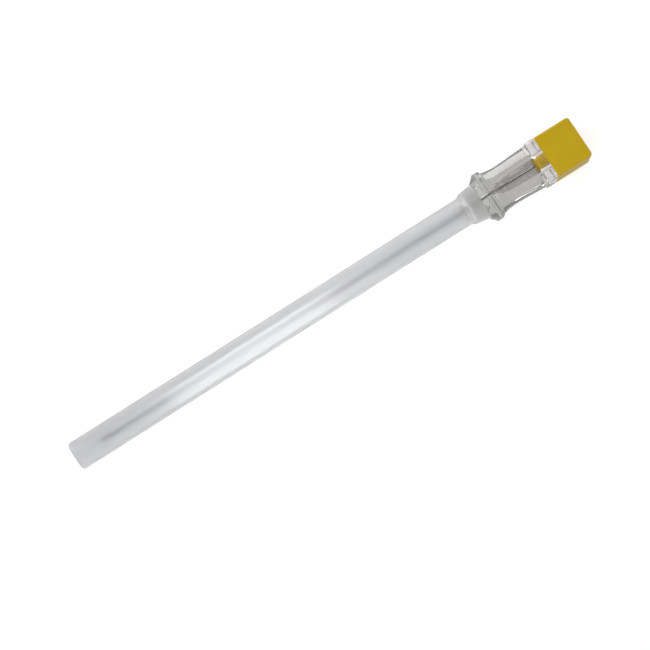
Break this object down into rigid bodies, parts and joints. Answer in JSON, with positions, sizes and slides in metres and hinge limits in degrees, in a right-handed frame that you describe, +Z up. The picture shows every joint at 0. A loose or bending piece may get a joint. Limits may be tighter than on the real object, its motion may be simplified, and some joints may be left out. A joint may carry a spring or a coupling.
{
  "type": "spinal needle",
  "caption": "Sheathed spinal needle: a clear waisted hub carries a bonded steel cannula with a short cutting bevel, filled by a capped stylet, under a slide-off translucent sheath.",
  "frame": {"origin": "on the surface that the needle lies on, under the middle of its overall length", "axes": "+X along the needle from the sheath's closed end to the back of the stylet cap, +Z up, +Y across the flange"},
  "size_m": [0.1222, 0.0108, 0.0082],
  "materials": {
    "sheath_plastic": "satin, milky translucent",
    "hub_plastic": "polished, clear",
    "cannula_steel": "drawn and ground",
    "cured_adhesive": "glossy, slightly amber",
    "stylet_steel": "drawn bright",
    "cap_plastic": "fine satin, opaque yellow"
  },
  "bodies": {
    "hub": {"needle_hub": "hub_plastic", "cannula": "cannula_steel", "adhesive_bond": "cured_adhesive"},
    "stylet": {"stylet_cap": "cap_plastic", "stylet_wire": "stylet_steel"},
    "sheath": {"needle_sheath": "sheath_plastic"}
  },
  "joints": [
    {"name": "sheath_slide", "type": "slide", "parent": "hub", "child": "sheath", "axis": [-1, 0, 0], "range_m": [0, 0.1]},
    {"name": "stylet_slide", "type": "slide", "parent": "hub", "child": "stylet", "axis": [1, 0, 0], "range_m": [0, 0.115]}
  ]
}
